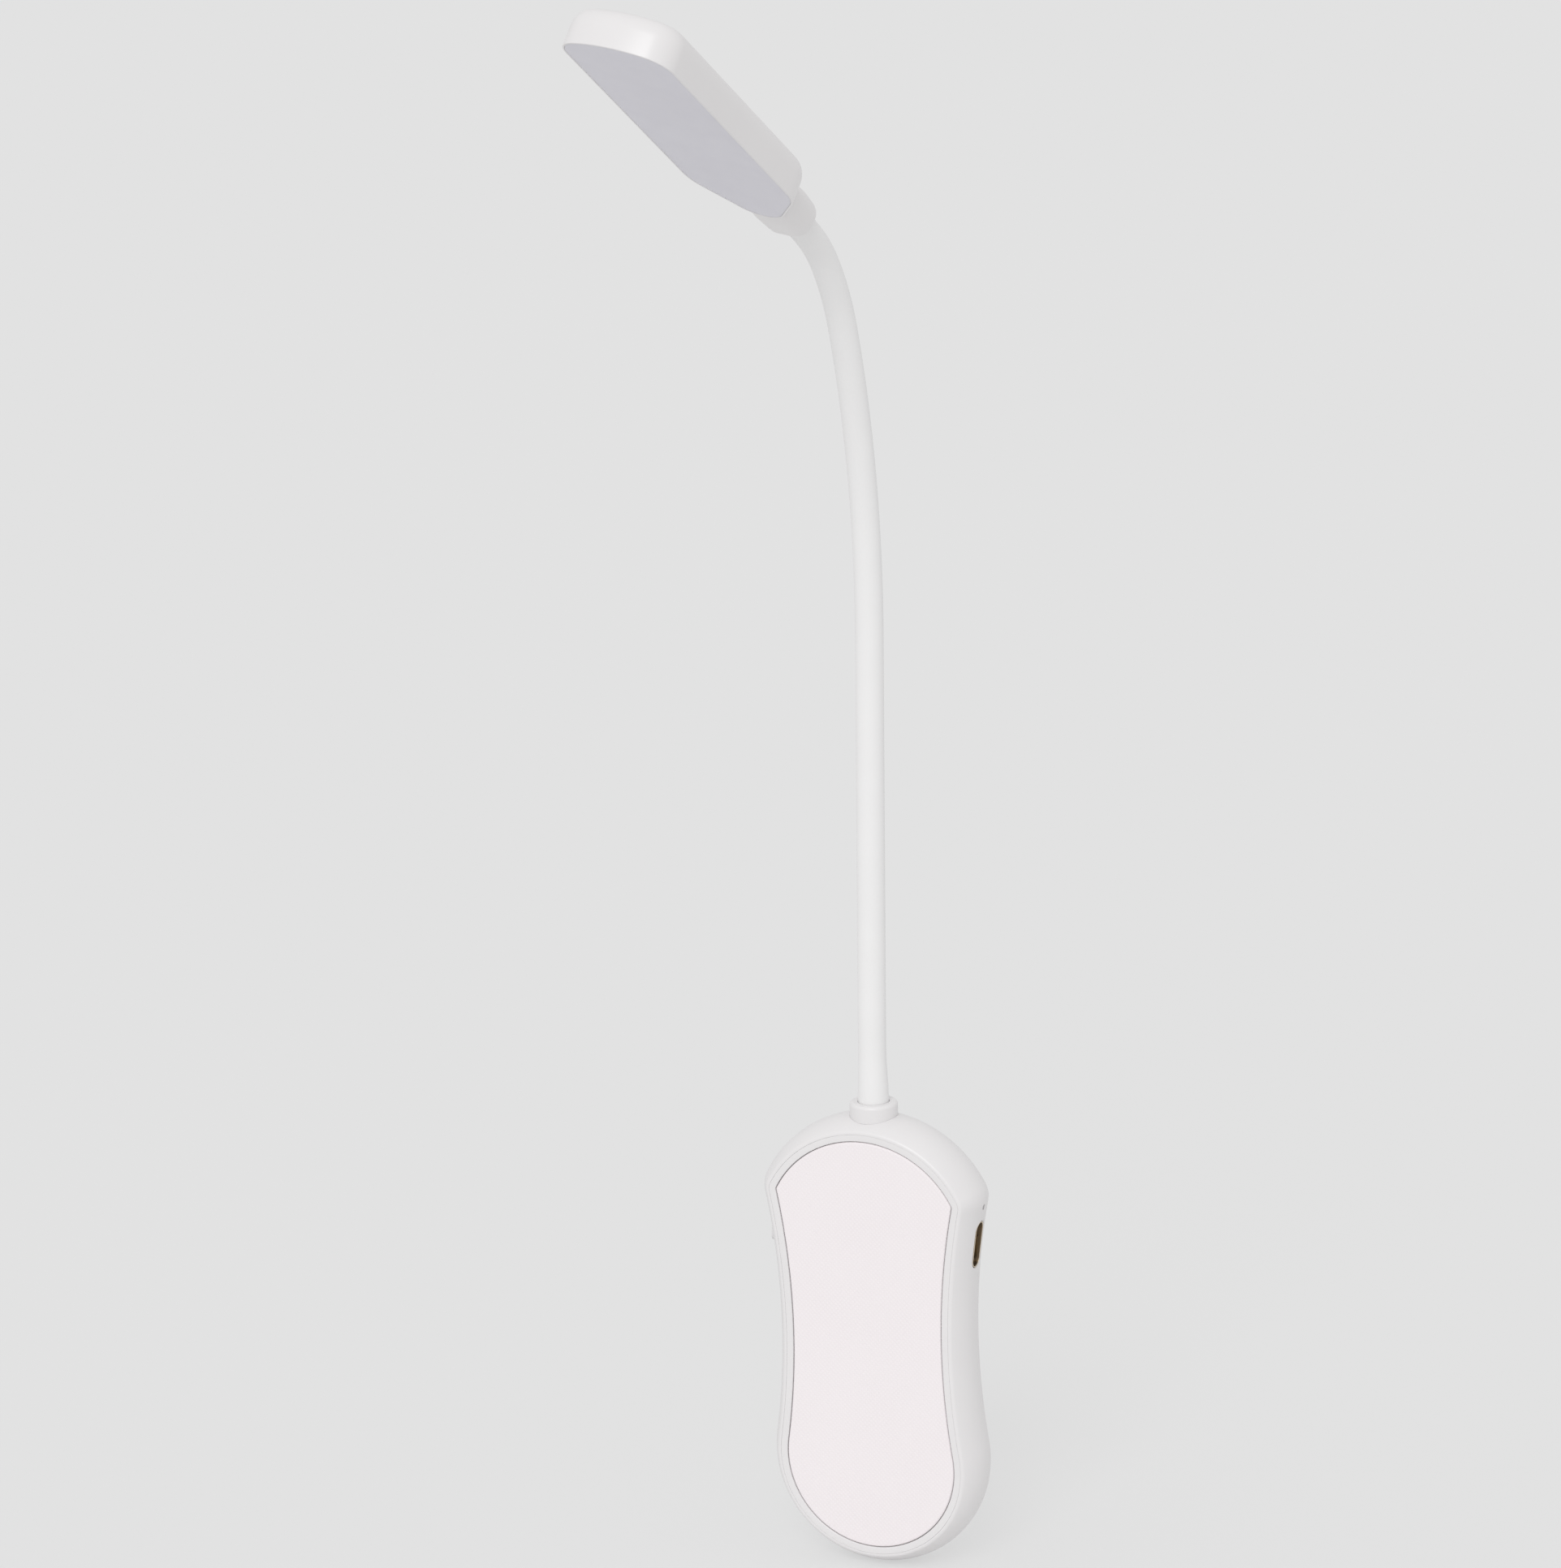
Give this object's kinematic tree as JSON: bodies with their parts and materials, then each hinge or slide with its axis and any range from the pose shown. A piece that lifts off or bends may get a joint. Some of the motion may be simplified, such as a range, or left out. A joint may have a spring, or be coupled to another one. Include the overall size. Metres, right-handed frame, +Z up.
{
  "type": "gooseneck clip lamp",
  "caption": "Rechargeable clip lamp: waisted battery housing with a dotted grip panel, a flexible gooseneck and a thin rounded light bar with a milky diffuser.",
  "frame": {"origin": "on the front face of the grip panel, on its centre line at the height of the waist", "axes": "+Z up along the housing towards the neck, -Y out of the grip panel towards the front, +X towards the side with the charging socket"},
  "size_m": [0.0438, 0.1149, 0.3067],
  "materials": {
    "housing_white": "satin",
    "panel_rubber": "matte, fine diamond dots",
    "neck_silicone": "smooth matte",
    "steel": "bright",
    "spring_steel": "satin",
    "brass": "satin",
    "cell_foil": "satin foil",
    "foam": "matte",
    "board_green": "satin",
    "chip_black": "matte",
    "wire_red_black": "satin",
    "light_pipe": "clear",
    "diffuser_milky": "milky satin",
    "board_white": "white solder mask",
    "chip_yellow": "satin",
    "jaw_rubber": "matte"
  },
  "bodies": {
    "base": {"rear_housing": "housing_white", "front_cover": "housing_white", "grip_panel": "panel_rubber", "housing_screws": "steel", "battery_foam": "foam", "battery_cell": "cell_foil", "battery_leads": "wire_red_black", "control_board": "board_green", "charge_chip": "chip_black", "usb_socket": "steel", "usb_tongue": "chip_black", "charge_led": "chip_yellow", "light_pipe": "light_pipe", "push_switch": "chip_black", "neck_root_sleeve": "neck_silicone", "neck_root_core": "spring_steel", "neck_collar": "housing_white", "neck_clamp": "brass", "lamp_leads": "wire_red_black", "clip_pin": "steel"},
    "button": {"power_button": "housing_white"},
    "clip": {"clip_arm": "housing_white", "jaw_pad": "jaw_rubber", "clip_spring": "spring_steel"},
    "neck_1": {"neck_sleeve_1": "neck_silicone", "neck_core_1": "spring_steel"},
    "neck_2": {"neck_sleeve_2": "neck_silicone", "neck_core_2": "spring_steel"},
    "neck_3": {"neck_sleeve_3": "neck_silicone", "neck_core_3": "spring_steel"},
    "neck_4": {"neck_sleeve_4": "neck_silicone", "neck_core_4": "spring_steel"},
    "neck_5": {"neck_sleeve_5": "neck_silicone", "neck_core_5": "spring_steel"},
    "neck_6": {"neck_sleeve_6": "neck_silicone", "neck_core_6": "spring_steel"},
    "neck_7": {"neck_sleeve_7": "neck_silicone", "neck_core_7": "spring_steel"},
    "neck_8": {"neck_sleeve_8": "neck_silicone", "neck_core_8": "spring_steel"},
    "neck_9": {"neck_sleeve_9": "neck_silicone", "neck_core_9": "spring_steel"},
    "head": {"head_shell": "housing_white", "diffuser": "diffuser_milky", "light_board": "board_white", "light_chips": "chip_yellow", "light_board_tape": "foam", "neck_tip_sleeve": "neck_silicone", "neck_tip_core": "spring_steel"}
  },
  "joints": [
    {"name": "clip_hinge", "type": "hinge", "parent": "base", "child": "clip", "pos_m": [0, 0.0158, 0.003], "axis": [1, 0, 0], "range_deg": [0, 12], "stiffness_Nm_per_rad": 0.5, "springref_deg": -20.05},
    {"name": "button_press", "type": "slide", "parent": "base", "child": "button", "axis": [1, 0, 0], "range_m": [0, 0.0003], "stiffness_N_per_m": 3000, "springref_m": -0.0002},
    {"name": "neck_bend_1", "type": "hinge", "parent": "base", "child": "neck_1", "pos_m": [0, 0.0062, 0.0545], "axis": [0.9989, -0.0408, -0.0223], "range_deg": [-12, 12]},
    {"name": "neck_side_2", "type": "hinge", "parent": "neck_1", "child": "neck_2", "pos_m": [0.00044, 0.0062, 0.074], "axis": [0.0408, 0.9992, -0.0009], "range_deg": [-12, 12]},
    {"name": "neck_bend_3", "type": "hinge", "parent": "neck_2", "child": "neck_3", "pos_m": [0.00087, 0.0062, 0.09349], "axis": [0.9989, -0.0408, -0.0223], "range_deg": [-12, 12]},
    {"name": "neck_side_4", "type": "hinge", "parent": "neck_3", "child": "neck_4", "pos_m": [0.00131, 0.0062, 0.11299], "axis": [0.0408, 0.9992, -0.0009], "range_deg": [-12, 12]},
    {"name": "neck_bend_5", "type": "hinge", "parent": "neck_4", "child": "neck_5", "pos_m": [0.00174, 0.0062, 0.13248], "axis": [0.9989, -0.0408, -0.0223], "range_deg": [-12, 12]},
    {"name": "neck_side_6", "type": "hinge", "parent": "neck_5", "child": "neck_6", "pos_m": [0.00215, 0.00518, 0.15244], "axis": [0.043, 0.9935, 0.105], "range_deg": [-12, 12]},
    {"name": "neck_bend_7", "type": "hinge", "parent": "neck_6", "child": "neck_7", "pos_m": [0.00246, 0.00197, 0.17217], "axis": [0.9989, -0.0408, -0.0223], "range_deg": [-12, 12]},
    {"name": "neck_bend_8", "type": "hinge", "parent": "neck_7", "child": "neck_8", "pos_m": [0.00266, -0.00307, 0.19048], "axis": [0.9989, -0.0408, -0.0223], "range_deg": [-12, 12]},
    {"name": "neck_side_9", "type": "hinge", "parent": "neck_8", "child": "neck_9", "pos_m": [0.0027, -0.00796, 0.2014], "axis": [0.0465, 0.8544, 0.5176], "range_deg": [-12, 12]},
    {"name": "head_tilt", "type": "hinge", "parent": "neck_9", "child": "head", "pos_m": [0.00261, -0.01538, 0.2108], "axis": [0.9989, -0.0408, -0.0223], "range_deg": [-12, 12]}
  ],
  "couplings": [
    {"joint": "neck_bend_3", "follows": "neck_bend_1", "ratio": 1},
    {"joint": "neck_bend_5", "follows": "neck_bend_1", "ratio": 1},
    {"joint": "neck_bend_8", "follows": "neck_bend_7", "ratio": 1},
    {"joint": "head_tilt", "follows": "neck_bend_7", "ratio": 1},
    {"joint": "neck_side_4", "follows": "neck_side_2", "ratio": 1},
    {"joint": "neck_side_6", "follows": "neck_side_2", "ratio": 1},
    {"joint": "neck_side_9", "follows": "neck_side_2", "ratio": 1}
  ]
}
